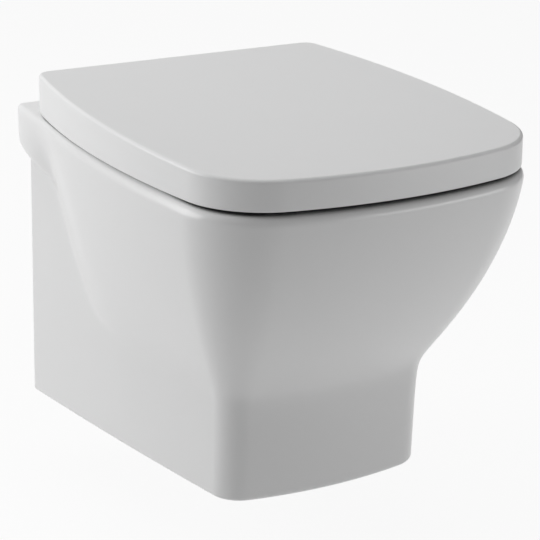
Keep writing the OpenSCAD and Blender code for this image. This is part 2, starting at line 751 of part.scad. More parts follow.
module lid_buffers() {
    color(soft) for (side = sides, p = buffer_at)
        translate([side * p[0], p[1], seat_top_z + rest_c])
            cylinder(h = lid_z(p[1] - buffer_r) - lid_t - seat_top_z - rest_c, r = buffer_r - 2);
}

pan();
wall_sleeves();
wall_washers();
wall_nuts();
hinge_base_left();
hinge_base_right();
hinge_pin_left();
hinge_pin_right();
seat_bolts();
expanding_sleeves();
cone_nuts();
seat_ring();
seat_knuckle_left();
seat_knuckle_right();
seat_knuckle_screws();
seat_damper();
seat_buffers();
lid();
lid_knuckle_left();
lid_knuckle_right();
lid_knuckle_screws();
lid_damper();
lid_buffers();
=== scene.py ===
import math

import bmesh
import bpy
from mathutils import Matrix, Vector


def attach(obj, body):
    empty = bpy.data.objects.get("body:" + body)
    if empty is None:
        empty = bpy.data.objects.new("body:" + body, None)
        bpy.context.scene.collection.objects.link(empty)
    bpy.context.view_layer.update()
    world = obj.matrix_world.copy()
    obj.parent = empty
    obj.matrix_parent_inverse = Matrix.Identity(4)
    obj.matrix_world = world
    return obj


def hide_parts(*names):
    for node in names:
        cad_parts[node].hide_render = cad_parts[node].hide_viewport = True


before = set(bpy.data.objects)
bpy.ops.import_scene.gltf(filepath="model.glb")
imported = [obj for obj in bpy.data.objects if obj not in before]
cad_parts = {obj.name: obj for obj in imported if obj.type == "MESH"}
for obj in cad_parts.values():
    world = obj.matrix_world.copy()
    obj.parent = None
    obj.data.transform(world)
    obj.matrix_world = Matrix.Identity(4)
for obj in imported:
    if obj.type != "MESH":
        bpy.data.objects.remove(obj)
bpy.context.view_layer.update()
print("frame loaded:", len(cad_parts), "nodes")

# Sizes are written in millimetres, as on a drawing, and become metres in makeMesh.
past = 1  # what is cut away or joined on reaches this far past the face it meets


# Shares and smooth steps

def mix(a, b, share):
    return a + (b - a) * share


def mixPoint(a, b, share):
    return tuple(x + (y - x) * share for x, y in zip(a, b))


def within(t):  # held between 0 and 1
    return min(1, max(0, t))


def smoothStep(t):
    t = within(t)
    return t * t * (3 - 2 * t)


def easeIn(t, bend=0.3):  # rises straight from 0 and eases into 1
    if t < 1 - bend:
        return max(t, 0)
    return 1 if t > 1 + bend else t - (t - 1 + bend) ** 2 / (4 * bend)


def softMax(a, b, soft):
    return (a + b + math.sqrt((a - b) ** 2 + soft * soft)) / 2


def softMin(a, b, soft):
    return -softMax(-a, -b, soft)


def stepsTo(a, b, count):  # even steps from a towards b, without b
    return [mix(a, b, k / count) for k in range(count)]


def quarterIn(r, t):  # how far an edge rounded with r has drawn in at a distance t from its end
    return r - math.sqrt(max(0, r * r - (r - t) ** 2))


def roundSteps(count):  # 0 to 1, close together at the start
    return [1 - math.cos(math.pi / 2 * k / count) for k in range(count + 1)]


def roundedEdge(r, count):  # pairs of inward and down, from the side of an edge to its top
    turns = [math.pi / 2 * k / count for k in range(count + 1)]
    return [(r * (1 - math.cos(a)), r * (1 - math.sin(a))) for a in turns]


# Outlines: a plan holds half width, widest place, side radius, front, front radius and corner radius

def insetPlan(plan, e, cornerShare=1):
    half, widest, sideR, front, frontR, cornerR = plan
    return (half - e, widest, sideR - e, front - e, frontR - e, cornerR - e * cornerShare)


def meetPoint(s, a, f, b):  # centre a from s and b from f, on the front right
    dx, dy = f[0] - s[0], f[1] - s[1]
    d = math.hypot(dx, dy)
    ux, uy = dx / d, dy / d
    k = (a * a - b * b + d * d) / (2 * d)
    h = math.sqrt(max(a * a - k * k, 0))
    return (s[0] + ux * k + uy * h, s[1] + uy * k - ux * h)


def arcPoints(c, r, a1, a2, count, first, ease=1.0):
    angles = [a1 + (a2 - a1) * (i / count) ** ease for i in range(first, count + 1)]
    return [(c[0] + r * math.cos(a), c[1] + r * math.sin(a)) for a in angles]


def halfOutline(plan, back, backR, counts, ease=1.0):  # right half, back edge to middle of the front
    half, widest, sideR, front, frontR, cornerR = plan
    s = (half - sideR, -widest)
    f = (0, frontR - front)
    c = meetPoint(s, sideR - cornerR, f, frontR - cornerR)
    heelY = -back - backR
    heel = (s[0] + math.sqrt((sideR - backR) ** 2 - (heelY - s[1]) ** 2), heelY)
    a0 = math.atan2(heel[1] - s[1], heel[0] - s[0])
    a1 = math.atan2(c[1] - s[1], c[0] - s[0])
    a2 = math.atan2(c[1] - f[1], c[0] - f[0])
    made = arcPoints(heel, backR, math.pi / 2, a0, counts[0], 0) if backR > 0 else [heel]
    made += arcPoints(s, sideR, a0, a1, counts[1], 1, ease)
    made += arcPoints(c, cornerR, a1, a2, counts[2], 1)
    return made + arcPoints(f, frontR, a2, -math.pi / 2, counts[3], 1)


def fullRing(half):
    left = [(-p[0],) + tuple(p[1:]) for p in half]
    return left + [tuple(p) for p in reversed(half[:-1])]


def lifted(ring, z):
    return [(x, y, z) for x, y in ring]


# Meshes

def makeMesh(name, points, faces):
    mesh = bpy.data.meshes.new(name)
    mesh.from_pydata([(x / 1000, y / 1000, z / 1000) for x, y, z in points], [], faces)
    mesh.validate()
    piece = bpy.data.objects.new(name, mesh)
    bpy.context.scene.collection.objects.link(piece)
    return piece


def turnOutwards(piece):
    work = bmesh.new()
    work.from_mesh(piece.data)
    bmesh.ops.remove_doubles(work, verts=work.verts, dist=1e-7)
    bmesh.ops.recalc_face_normals(work, faces=work.faces)
    if work.calc_volume(signed=True) < 0:
        bmesh.ops.reverse_faces(work, faces=work.faces)
    work.to_mesh(piece.data)
    work.free()


def skinRings(name, rings, closed=False):  # quads between rings, ends closed by one face each
    n, m = len(rings[0]), len(rings)
    points = [p for ring in rings for p in ring]
    faces = []
    for j in range(m if closed else m - 1):
        k = (j + 1) % m
        faces += [(j * n + i, j * n + (i + 1) % n, k * n + (i + 1) % n, k * n + i) for i in range(n)]
    if not closed:
        faces += [tuple(reversed(range(n))), tuple((m - 1) * n + i for i in range(n))]
    piece = makeMesh(name, points, faces)
    turnOutwards(piece)
    return piece


def rod(name, a, b, r, sides=96):  # round bar from a to b
    turn = (Vector(b) - Vector(a)).to_track_quat("Z", "Y")
    angles = [2 * math.pi * i / sides for i in range(sides)]
    circle = [turn @ Vector((r * math.cos(angle), r * math.sin(angle), 0)) for angle in angles]
    return skinRings(name, [[tuple(Vector(end) + p) for p in circle] for end in (a, b)])


def block(name, a, b):  # box between two opposite corners
    (x1, x2), (y1, y2), (z1, z2) = (sorted(ends) for ends in zip(a, b))
    return skinRings(name, [lifted([(x1, y1), (x2, y1), (x2, y2), (x1, y2)], z) for z in (z1, z2)])


def bakeModifiers(piece):
    done = bpy.data.meshes.new_from_object(piece.evaluated_get(bpy.context.evaluated_depsgraph_get()))
    piece.modifiers.clear()
    old = piece.data
    piece.data = done
    bpy.data.meshes.remove(old)


def combine(piece, others, operation):  # boolean with each of the others, which are then dropped
    for other in others:
        step = piece.modifiers.new("cut", "BOOLEAN")
        step.operation = operation
        step.solver = "MANIFOLD"
        step.object = other
        bakeModifiers(piece)
    for other in others:
        bpy.data.objects.remove(other)
    return piece


def finishPiece(piece, name, body, nodes, material, sharpAngle=32):
    piece.name = piece.data.name = name
    piece.data.shade_smooth()
    piece.data.set_sharp_from_angle(angle=math.radians(sharpAngle))
    weighted = piece.modifiers.new("weighted", "WEIGHTED_NORMAL")
    weighted.mode = "FACE_AREA"
    weighted.keep_sharp = True
    bakeModifiers(piece)
    piece.data.materials.clear()
    piece.data.materials.append(material)
    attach(piece, body)
    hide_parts(*nodes)
    return piece


# Materials, with places and heights in metres

class Wire:  # a shader socket that can be used in sums
    def __init__(self, tree, socket):
        self.tree, self.socket = tree, socket

    def maths(self, operation, other=None, swapped=False):
        values = [other, self] if swapped else [self, other]
        values = [value for value in values if value is not None]
        return self.tree.node("ShaderNodeMath", {"operation": operation}, dict(enumerate(values)))

    def __add__(self, other):
        return self.maths("ADD", other)

    def __radd__(self, other):
        return self.maths("ADD", other)

    def __sub__(self, other):
        return self.maths("SUBTRACT", other)

    def __rsub__(self, other):
        return self.maths("SUBTRACT", other, swapped=True)

    def __mul__(self, other):
        return self.maths("MULTIPLY", other)

    def __rmul__(self, other):
        return self.maths("MULTIPLY", other)

    def __truediv__(self, other):
        return self.maths("DIVIDE", other)

    def __rtruediv__(self, other):
        return self.maths("DIVIDE", other, swapped=True)

    def __pow__(self, other):
        return self.maths("POWER", other)

    def __rpow__(self, other):
        return self.maths("POWER", other, swapped=True)


class Graph:  # what shader and geometry trees share
    def node(self, kind, settings=None, values=None, out=0):
        made = self.nodes.new(kind)
        for key, value in (settings or {}).items():
            setattr(made, key, value)
        for key, value in (values or {}).items():
            socket = made.inputs[key]
            if isinstance(value, Wire):
                self.links.new(value.socket, socket)
            elif isinstance(value, list):
                for wire in value:
                    self.links.new(wire.socket, socket)
            else:
                socket.default_value = value
        return Wire(self, made.outputs[out]) if len(made.outputs) else None


class Finish(Graph):  # one material and the nodes that make it
    def __init__(self, name):
        self.material = bpy.data.materials.new(name)
        self.material.use_nodes = True
        self.nodes = self.material.node_tree.nodes
        self.links = self.material.node_tree.links
        self.nodes.clear()

    def place(self):
        return self.node("ShaderNodeTexCoord", out="Object")

    def placeAlong(self, axis):
        return self.node("ShaderNodeSeparateXYZ", None, {0: self.place()}, out=axis)

    def noise(self, scale, detail, vector=None):
        values = {"Vector": vector or self.place(), "Scale": scale, "Detail": detail}
        return self.node("ShaderNodeTexNoise", None, values)

    def tint(self, share, low, high):
        low, high = (end if isinstance(end, Wire) else end + (1,) for end in (low, high))
        return self.node("ShaderNodeMix", {"data_type": "RGBA"}, {0: share, 6: low, 7: high}, out=2)

    def eased(self, value, low, high):  # 0 at low and 1 at high, smooth at both ends
        return self.node("ShaderNodeMapRange", {"interpolation_type": "SMOOTHSTEP"},
                         {"Value": value, "From Min": low, "From Max": high})

    def openSky(self, reach):  # share of open space within the reach
        return self.node("ShaderNodeAmbientOcclusion", {"samples": 8}, {"Distance": reach}, out="AO")

    def bump(self, height, strength, distance):
        values = {"Height": height, "Strength": strength, "Distance": distance}
        return self.node("ShaderNodeBump", None, values)

    def surface(self, values):
        shader = self.node("ShaderNodeBsdfPrincipled", None, values)
        self.node("ShaderNodeOutputMaterial", None, {"Surface": shader})
        return self.material


glaze = {"low": (0.86, 0.862, 0.862), "high": (0.885, 0.885, 0.885), "cloudScale": 7.0, "waveScale": 38.0,
         "roughness": 0.3, "roughChange": 0.04, "ripple": 0.05, "rippleHeight": 0.0006,
         "coat": 0.15, "coatRoughness": 0.14, "ior": 1.5}
paintedGapShade = {"reach": 0.016, "side": (0.0, 0.45), "front": (0.4, 0.95), "frontFrom": (-0.34, -0.45),
       "rimFrom": (0.066, 0.054), "shade": (0.02, 0.02, 0.02)}  # painted shade: base colour darkened under the lid's edge, deeper in front


def glazedChina():  # vitreous china: white under a clear glaze that lies in faint waves, with painted shade near the rim under the lid's edge
    f = Finish("glazedChina")
    wave = f.noise(glaze["waveScale"], 2.0)
    white = f.tint(f.noise(glaze["cloudScale"], 3.0), glaze["low"], glaze["high"])
    front = f.eased(f.placeAlong("Y"), *paintedGapShade["frontFrom"])
    low, high = (side + front * (ahead - side) for side, ahead in zip(paintedGapShade["side"], paintedGapShade["front"]))
    belowRim = f.eased(f.placeAlong("Z"), *paintedGapShade["rimFrom"])
    # painted shade: the base colour darkens where the open space within reach is small, only in the band
    # near the rim, and more towards the front
    openShare = f.eased(f.openSky(paintedGapShade["reach"]), low, high).maths("MAXIMUM", belowRim)
    return f.surface({"Base Color": f.tint(openShare, paintedGapShade["shade"], white),
                      "Roughness": glaze["roughness"] + (wave - 0.5) * glaze["roughChange"],
                      "Coat Weight": glaze["coat"], "Coat Roughness": glaze["coatRoughness"],
                      "IOR": glaze["ior"], "Normal": f.bump(wave, glaze["ripple"], glaze["rippleHeight"])})


resin = {"low": (0.875, 0.877, 0.878), "high": (0.9, 0.901, 0.901), "cloudScale": 9.0, "grainScale": 900.0,
         "roughness": 0.4, "roughChange": 0.05, "grain": 0.03, "grainHeight": 0.0002,
         "coat": 0.2, "coatRoughness": 0.22, "ior": 1.5}


def whiteResin():  # moulded lid and seat: flatter than the glaze, with a very fine grain
    f = Finish("whiteResin")
    cloud = f.noise(resin["cloudScale"], 2.0)
    grain = f.noise(resin["grainScale"], 1.0)
    return f.surface({"Base Color": f.tint(cloud, resin["low"], resin["high"]),
                      "Roughness": resin["roughness"] + (cloud - 0.5) * resin["roughChange"],
                      "Coat Weight": resin["coat"], "Coat Roughness": resin["coatRoughness"],
                      "IOR": resin["ior"], "Normal": f.bump(grain, resin["grain"], resin["grainHeight"])})


metals = {
    "platedHinge": {"low": (0.62, 0.62, 0.63), "high": (0.72, 0.72, 0.73), "roughness": 0.24,
                    "stretch": (1.0, 1.0, 1.0)},
    "pinSteel": {"low": (0.55, 0.55, 0.56), "high": (0.66, 0.66, 0.67), "roughness": 0.3,
                 "stretch": (0.1, 3.0, 3.0)},
    "zincSteel": {"low": (0.5, 0.52, 0.56), "high": (0.64, 0.65, 0.66), "roughness": 0.38,
                  "stretch": (1.0, 1.0, 1.0)},
}
brushing = {"lineScale": 240.0, "roughChange": 0.14, "bump": 0.06, "bumpHeight": 0.0002}


def metalFinish(name, look):  # brushed or plated metal
    f = Finish(name)
    stretched = f.node("ShaderNodeMapping", None, {"Vector": f.place(), "Scale": look["stretch"]})
    lines = f.noise(brushing["lineScale"], 3.0, stretched)
    return f.surface({"Base Color": f.tint(lines, look["low"], look["high"]), "Metallic": 1.0,
                      "Roughness": look["roughness"] + (lines - 0.5) * brushing["roughChange"],
                      "Normal": f.bump(lines, brushing["bump"], brushing["bumpHeight"])})


mouldings = {
    "knucklePlastic": {"low": (0.74, 0.74, 0.73), "high": (0.78, 0.78, 0.77),
                       "roughness": 0.45, "grainScale": 1400.0},
    "sleevePlastic": {"low": (0.66, 0.66, 0.64), "high": (0.72, 0.72, 0.7),
                      "roughness": 0.5, "grainScale": 1100.0},
    "damperPlastic": {"low": (0.03, 0.03, 0.033), "high": (0.045, 0.045, 0.05),
                      "roughness": 0.42, "grainScale": 1200.0},
    "blackRubber": {"low": (0.02, 0.02, 0.02), "high": (0.035, 0.035, 0.034),
                    "roughness": 0.7, "grainScale": 800.0},
    "paleRubber": {"low": (0.5, 0.5, 0.49), "high": (0.58, 0.58, 0.56),
                   "roughness": 0.6, "grainScale": 900.0},
}
graining = {"patchScale": 30.0, "roughChange": 0.1, "bump": 0.15, "bumpHeight": 0.0003}


def mouldedFinish(name, look):  # plastics and rubbers with a fine surface grain
    f = Finish(name)
    patch = f.noise(graining["patchScale"], 3.0)
    grain = f.noise(look["grainScale"], 2.0)
    return f.surface({"Base Color": f.tint(patch, look["low"], look["high"]),
                      "Roughness": look["roughness"] + (grain - 0.5) * graining["roughChange"],
                      "Normal": f.bump(grain, graining["bump"], graining["bumpHeight"])})


china = glazedChina()
resinWhite = whiteResin()
finishes = {name: metalFinish(name, look) for name, look in metals.items()}
finishes.update({name: mouldedFinish(name, look) for name, look in mouldings.items()})
print("finishes made:", len(finishes) + 2)


# Pan

pan = {
    "halfWidth": 182, "ledgeHalf": 161, "widestAt": 262, "front": 483.8, "frontR": 486, "cornerR": 83,
    "rimEdgeR": 14, "ledgeEdgeR": 5.5, "rimZ": 85, "height": 319, "wall": 13,
    "footWallHalf": 153, "footDraft": 4.5, "footFrontHalf": 108, "footCornerAt": 353, "footBow": 14,
    "footCornerR": 32, "footLean": 5, "footEdgeR": 5.5, "footAhead": 580, "cornerKeep": 0.6,
    "ledgeLow": 51, "ledgeDip": 0.43, "ledgePower": 11.0, "ledgeRun": 70, "ledgeLean": 95, "ledgeEnd": 80,
    "bellyStart": 68, "bellyStartAt": 40, "bellyDip": 1.6, "bellyLow": 211, "bellyBend": 50,
    "bellyPower": 1.9, "bellyFrom": 70, "bellyRun": 75, "bellySlope": 0.2, "flareFrom": 63, "flareRun": 204,
    "hollowPower": 1.5, "hollowFrom": 50, "hollowRun": 40, "hollowSlope": 0.6,
    "nearFrom": 60, "nearRun": 60, "joinSoft": 0.06, "creaseSoft": 0.1, "nearCreaseSoft": 0.04,
    "footRows": (1.75, 1.5, 1.35, 1.25, 1.18, 1.13, 1.09, 1.06, 1.035, 1.015),
    "toeRows": 7, "lowRows": 24, "upperRows": 28, "upperFrom": 0.7, "edgeRows": 10,
    "counts": (2, 64, 30, 26), "ease": 1.35,
}


def arcThrough(run, drop):  # radius of an arc that drops so far over the run
    return (run * run + drop * drop) / (2 * drop)


rimSideR = arcThrough(pan["widestAt"], pan["halfWidth"] - pan["ledgeHalf"])
rimPlan = (pan["halfWidth"], pan["widestAt"], rimSideR, pan["front"], pan["frontR"], pan["cornerR"])
footSideR = (((pan["footCornerAt"] + pan["footAhead"]) ** 2 - pan["footAhead"] ** 2)
             / (2 * (pan["footWallHalf"] - pan["footFrontHalf"])))
footPlan = (pan["footWallHalf"] + pan["footAhead"] ** 2 / (2 * footSideR), -pan["footAhead"], footSideR,
            pan["footCornerAt"] + pan["footBow"], pan["footFrontHalf"] ** 2 / (2 * pan["footBow"]),
            pan["footCornerR"])


def edgeRadius(d):
    return mix(pan["ledgeEdgeR"], pan["rimEdgeR"], min(1, d / pan["widestAt"]))


def ledgeDepth(d):  # lower edge of the flat band beside the hinges
    return pan["ledgeLow"] + pan["ledgeDip"] * d


def creaseDepth(d):  # depth of the line where ledge and belly meet the foot
    falling = pan["bellyStart"] + pan["bellyDip"] * (d - pan["bellyStartAt"])
    crease = softMin(falling, pan["bellyLow"], pan["bellyBend"])
    return max(ledgeDepth(d), crease) if d < pan["ledgeEnd"] else crease


def bellyShare(d, depth):  # a hollow beside the ledge that turns into a full belly further forward
    v = depth / creaseDepth(d)
    hollow = (1 - v) ** pan["hollowPower"] if v < 1 else pan["hollowSlope"] * (1 - v)
    slope = pan["bellySlope"] * easeIn((d - pan["flareFrom"]) / pan["flareRun"])
    power = mix(1, pan["bellyPower"], smoothStep((d - pan["bellyFrom"]) / pan["bellyRun"]))
    full = 1 - slope * v - (1 - slope) * v ** power
    return mix(hollow, full, smoothStep((d - pan["hollowFrom"]) / pan["hollowRun"]))


def ledgeShare(d, depth):  # a band that stands out down to the ledge's lower edge and leans in forward
    edge = 1 - (depth / ledgeDepth(d)) ** pan["ledgePower"]
    if edge <= 0:
        return max(edge, -1)
    return edge * mix(1, max(0, 1 - depth / pan["ledgeLean"]), smoothStep(d / pan["ledgeRun"]))


def flareShare(d, depth):  # 1 at the rim's outline, 0 at the foot's
    near = 1 - smoothStep((d - pan["nearFrom"]) / pan["nearRun"])
    g = softMax(bellyShare(d, depth), ledgeShare(d, depth), pan["joinSoft"] * near)
    soft = mix(pan["creaseSoft"], pan["nearCreaseSoft"], near)
    return (g + math.sqrt(g * g + soft * soft)) / (1 + math.sqrt(1 + soft * soft))


def rowDepth(d, row, level, edge):  # below the rim's top, at distance d from the wall
    if edge is not None:
        return edge * edgeRadius(d)
    if level is not None:
        return level
    if row < 1:
        return mix(edgeRadius(d), creaseDepth(d), row)
    return mix(creaseDepth(d), pan["height"] - pan["footEdgeR"], row - 1)


def footPoint(x, y, depth, back):  # the foot's outline, which leans and has a draft
    above = pan["height"] - depth
    lean = pan["footLean"] * min(1, above / (pan["height"] - pan["bellyLow"]))
    forward = min(1, max(0, -y - back) / (pan["footCornerAt"] - back))
    rearward = 1 - min(1, -y / pan["footCornerAt"])
    draft = pan["footDraft"] * above / (pan["height"] - pan["ledgeLow"]) * rearward
    return (x - min(draft, x), y - lean * forward)


def bodyRow(row, e, back=0, level=None, edge=None, counts=pan["counts"]):
    plans = (insetPlan(footPlan, e, pan["cornerKeep"]), insetPlan(rimPlan, e),
             insetPlan(rimPlan, e + pan["rimEdgeR"]))
    drawn = 0 if edge is None else quarterIn(1, edge)
    made = []
    for low, high, inner in zip(*(halfOutline(plan, back, 0, counts, pan["ease"]) for plan in plans)):
        d = -low[1]
        depth = rowDepth(d, row, level, edge)
        rim = mixPoint(high, inner, drawn * edgeRadius(d) / pan["rimEdgeR"])
        x, y = mixPoint(footPoint(*low, depth, back), rim, flareShare(d, depth))
        made.append((x, y, pan["rimZ"] - depth))
    return fullRing(made)


def panOutside():
    low, r = pan["height"], pan["footEdgeR"]
    toe = [bodyRow(0, quarterIn(r, k * r), level=low - k * r) for k in roundSteps(pan["toeRows"])]
    rows = [*pan["footRows"], *stepsTo(1, pan["upperFrom"], pan["lowRows"])]
    rows += stepsTo(pan["upperFrom"], 0, pan["upperRows"])
    rim = [bodyRow(0, 0, edge=k) for k in reversed(roundSteps(pan["edgeRows"]))]
    return skinRings("panOutside", toe + [bodyRow(row, 0) for row in rows] + rim)


inside = {
    "rimLand": 48, "rimT": 14, "lipT": 8, "lipH": 32, "channelW": 12,
    "mouthAhead": 8, "mouthSideR": 700, "frontLand": 46, "mouthFrontR": 330, "mouthCornerR": 84,
    "mouthBack": 125, "mouthBackR": 62, "mouthEdgeR": 8, "mouthEdgeRows": 10,
    "sumpHalf": 40, "sumpDeep": 73, "sumpFront": 308, "sumpSideR": 300, "sumpFrontR": 90, "sumpCornerR": 30,
    "sumpBackR": 26, "sumpUnderTrap": 1.5,
    "sumpEdge": ((1, -14, 0), (1, -9, 0.8), (1, -5, 3), (0.994, -2, 6), (0.985, 0, 11)),
    "bowlBackPower": 0.75, "bowlFrontPower": 1.15, "bowlRun": 230, "bowlRows": 40,
    "trapR": 28, "trapT": 8, "rise": 55, "fall": 45, "weirLow": 60, "dipLow": 166, "dipStart": 24,
    "dipBendR": 50, "weirBendR": 42, "outBendR": 40, "outletStart": 42, "bendRows": (12, 24, 10),
    "recessDeep": 36, "recessR": 22, "recessSide": 1, "recessFoot": 3, "recessUnder": 8,
    "counts": (14, 30, 30, 20),
    "webFront": 50, "webCounts": (1, 24, 12, 10),
    "webRows": (1.4, 1.15, 1.05, 1, 0.96, 0.93, 0.89, 0.85, 0.8, 0.75, 0.67, 0.6, 0.5, 0.42, 0.33, 0.25),
}
fittings = {
    "studHalf": 90, "studHoleR": 9, "studBossR": 21,
    "seatHoleHalf": 77.5, "seatHoleAt": 62, "seatHoleR": 7.5, "seatHoleUnder": 12,
    "inletZ": 35, "inletR": 27.5, "inletFront": 60, "inletWall": 8, "inletBossWall": 9, "inletBossBack": 4,
    "outletZ": -100, "outletR": 51, "outletBack": 3, "outletBoreR": 44, "outletBoreD": 28,
    "feedR": 15, "feedWall": 9, "feedUnder": 2, "feedShort": 8, "feedWallShort": 20,
    "bowlWallMore": 2, "bowlWallUp": 4, "trapWallShort": 12,
    "bossOver": 2, "studHoleOver": 4, "neckOver": 0.5,
}
mouthPlan = (pan["halfWidth"] - inside["rimLand"], pan["widestAt"] + inside["mouthAhead"],
             inside["mouthSideR"], pan["front"] - inside["frontLand"], inside["mouthFrontR"],
             inside["mouthCornerR"])
sumpPlan = (inside["sumpHalf"], inside["sumpFront"] - inside["sumpDeep"] / 2, inside["sumpSideR"],
            inside["sumpFront"], inside["sumpFrontR"], inside["sumpCornerR"])
sumpDepth = pan["rimZ"] + inside["dipLow"] + inside["trapR"] + inside["sumpUnderTrap"]


def bowlRing(s, e, depth):  # s is 0 at the flushing rim and 1 at the sump
    outside = inside["lipT"] + inside["channelW"] + e
    topBack = inside["mouthBack"] - outside
    sumpBack = inside["sumpFront"] - inside["sumpDeep"] - e
    high = halfOutline(insetPlan(mouthPlan, -outside), topBack, inside["mouthBackR"], inside["counts"])
    low = halfOutline(insetPlan(sumpPlan, -e), sumpBack, inside["sumpBackR"], inside["counts"])
    made = []
    for a, b in zip(high, low):
        forward = within((-a[1] - topBack) / inside["bowlRun"])
        share = mix(s ** inside["bowlBackPower"], s ** inside["bowlFrontPower"], forward)
        made.append(mixPoint(a, b, share))
    return lifted(fullRing(made), pan["rimZ"] - depth)


def bowlSpace(name, e, bottom, roof):
    low, rows = inside["rimT"] + inside["lipH"], inside["bowlRows"]
    floor = [bowlRing(s, e + out, sumpDepth + bottom - up) for s, out, up in inside["sumpEdge"]]
    sides = [bowlRing(k / rows, e, mix(low, sumpDepth, k / rows)) for k in range(rows - 3, -1, -1)]
    return skinRings(name, floor + sides + [bowlRing(0, e, roof)])


def mouthRing(e, depth):
    back = inside["mouthBack"] + e
    half = halfOutline(insetPlan(mouthPlan, e), back, inside["mouthBackR"], inside["counts"])
    return lifted(fullRing(half), pan["rimZ"] - depth)


def mouthSpace():
    r = inside["mouthEdgeR"]
    edge = [mouthRing(-out, down) for out, down in roundedEdge(r, inside["mouthEdgeRows"])]
    return skinRings("mouth", [mouthRing(0, inside["rimT"] + past)] + edge + [mouthRing(-r, -past)])


def flushingLip():
    low, high = inside["rimT"] + inside["lipH"], inside["rimT"] - 2 * past
    lip = skinRings("lip", [mouthRing(-inside["lipT"], low), mouthRing(-inside["lipT"], high)])
    hole = skinRings("lipHole", [mouthRing(0, low + past), mouthRing(0, high - past)])
    return combine(lip, [hole], "DIFFERENCE")


def bendPoints(y, z, r, start, end, count):  # from angle start to angle end, where 0 is level
    angles = [mix(start, end, k / count) for k in range(count + 1)]
    return [(y + r * math.sin(a), z + r * (1 - math.cos(a))) for a in angles]


def trapPath():  # middle line of the trap: a dip, a climb over the weir, a fall to the outlet
    dipR, weirR, outR = inside["dipBendR"], inside["weirBendR"], inside["outBendR"]
    dipZ, weirZ = -inside["dipLow"], -inside["weirLow"]
    outY, outZ = -inside["outletStart"], fittings["outletZ"]
    rise, fall = math.radians(inside["rise"]), math.radians(inside["fall"])
    climb = (weirZ - weirR * (1 - math.cos(rise))) - (dipZ + dipR * (1 - math.cos(rise)))
    drop = (weirZ - weirR * (1 - math.cos(fall))) - (outZ + outR * (1 - math.cos(fall)))
    weirY = outY - outR * math.sin(fall) - drop / math.tan(fall) - weirR * math.sin(fall)
    dipY = weirY - weirR * math.sin(rise) - climb / math.tan(rise) - dipR * math.sin(rise)
    dipRows, weirRows, outRows = inside["bendRows"]
    path = [(dipY - inside["dipStart"], dipZ)]
    path += bendPoints(dipY, dipZ, dipR, 0, rise, dipRows)
    path += bendPoints(weirY, weirZ, -weirR, rise, -fall, weirRows)
    return path + bendPoints(outY, outZ, outR, -fall, 0, outRows)


def trapTube(name, r, shorter, sides=64):
    path = trapPath()
    path[0] = (path[0][0] + shorter, path[0][1])
    angles = [2 * math.pi * k / sides for k in range(sides)]
    rings = []
    for i, (y, z) in enumerate(path):
        a, b = path[max(i - 1, 0)], path[min(i + 1, len(path) - 1)]
        length = math.hypot(b[0] - a[0], b[1] - a[1])
        uy, uz = (b[0] - a[0]) / length, (b[1] - a[1]) / length
        circle = [(r * math.cos(t), r * math.sin(t)) for t in angles]
        rings.append([(x, y + uz * rise, z - uy * rise) for x, rise in circle])
    return skinRings(name, rings)


def recessSpace():  # shallow hollow in the back, round the bosses
    r = inside["recessR"]
    half = pan["footWallHalf"] - pan["wall"] - inside["recessSide"] - r
    low = pan["rimZ"] - pan["height"] + pan["wall"] + inside["recessFoot"] + r
    high = pan["rimZ"] - inside["rimT"] - inside["recessUnder"] - r
    ring = []
    for quarter, (x, z) in enumerate(((half, high), (-half, high), (-half, low), (half, low))):
        ring += arcPoints((x, z), r, math.pi / 2 * quarter, math.pi / 2 * (quarter + 1), 12, 0)
    return skinRings("recess", [[(x, y, z) for x, z in ring] for y in (past, -inside["recessDeep"])])


def underSpace():  # what lies inside the wall of the body, open at the foot
    def webRow(row, level=None):
        return bodyRow(row, pan["wall"], inside["webFront"], level, counts=inside["webCounts"])

    rows = [webRow(0, pan["height"] + past), webRow(0, pan["height"] - pan["footEdgeR"])]
    rows += [webRow(row) for row in inside["webRows"]]
    return skinRings("under", rows + [webRow(0, inside["rimT"] + inside["recessUnder"])])


def barY(name, x, z, start, end, r, sides=96):
    return rod(name, (x, start, z), (x, end, z), r, sides)


def seatHole(side):
    x, y, top = side * fittings["seatHoleHalf"], -fittings["seatHoleAt"], pan["rimZ"] + 2 * past
    low = pan["rimZ"] - inside["rimT"] - fittings["seatHoleUnder"]
    return rod("seatHole", (x, y, low), (x, y, top), fittings["seatHoleR"], 48)


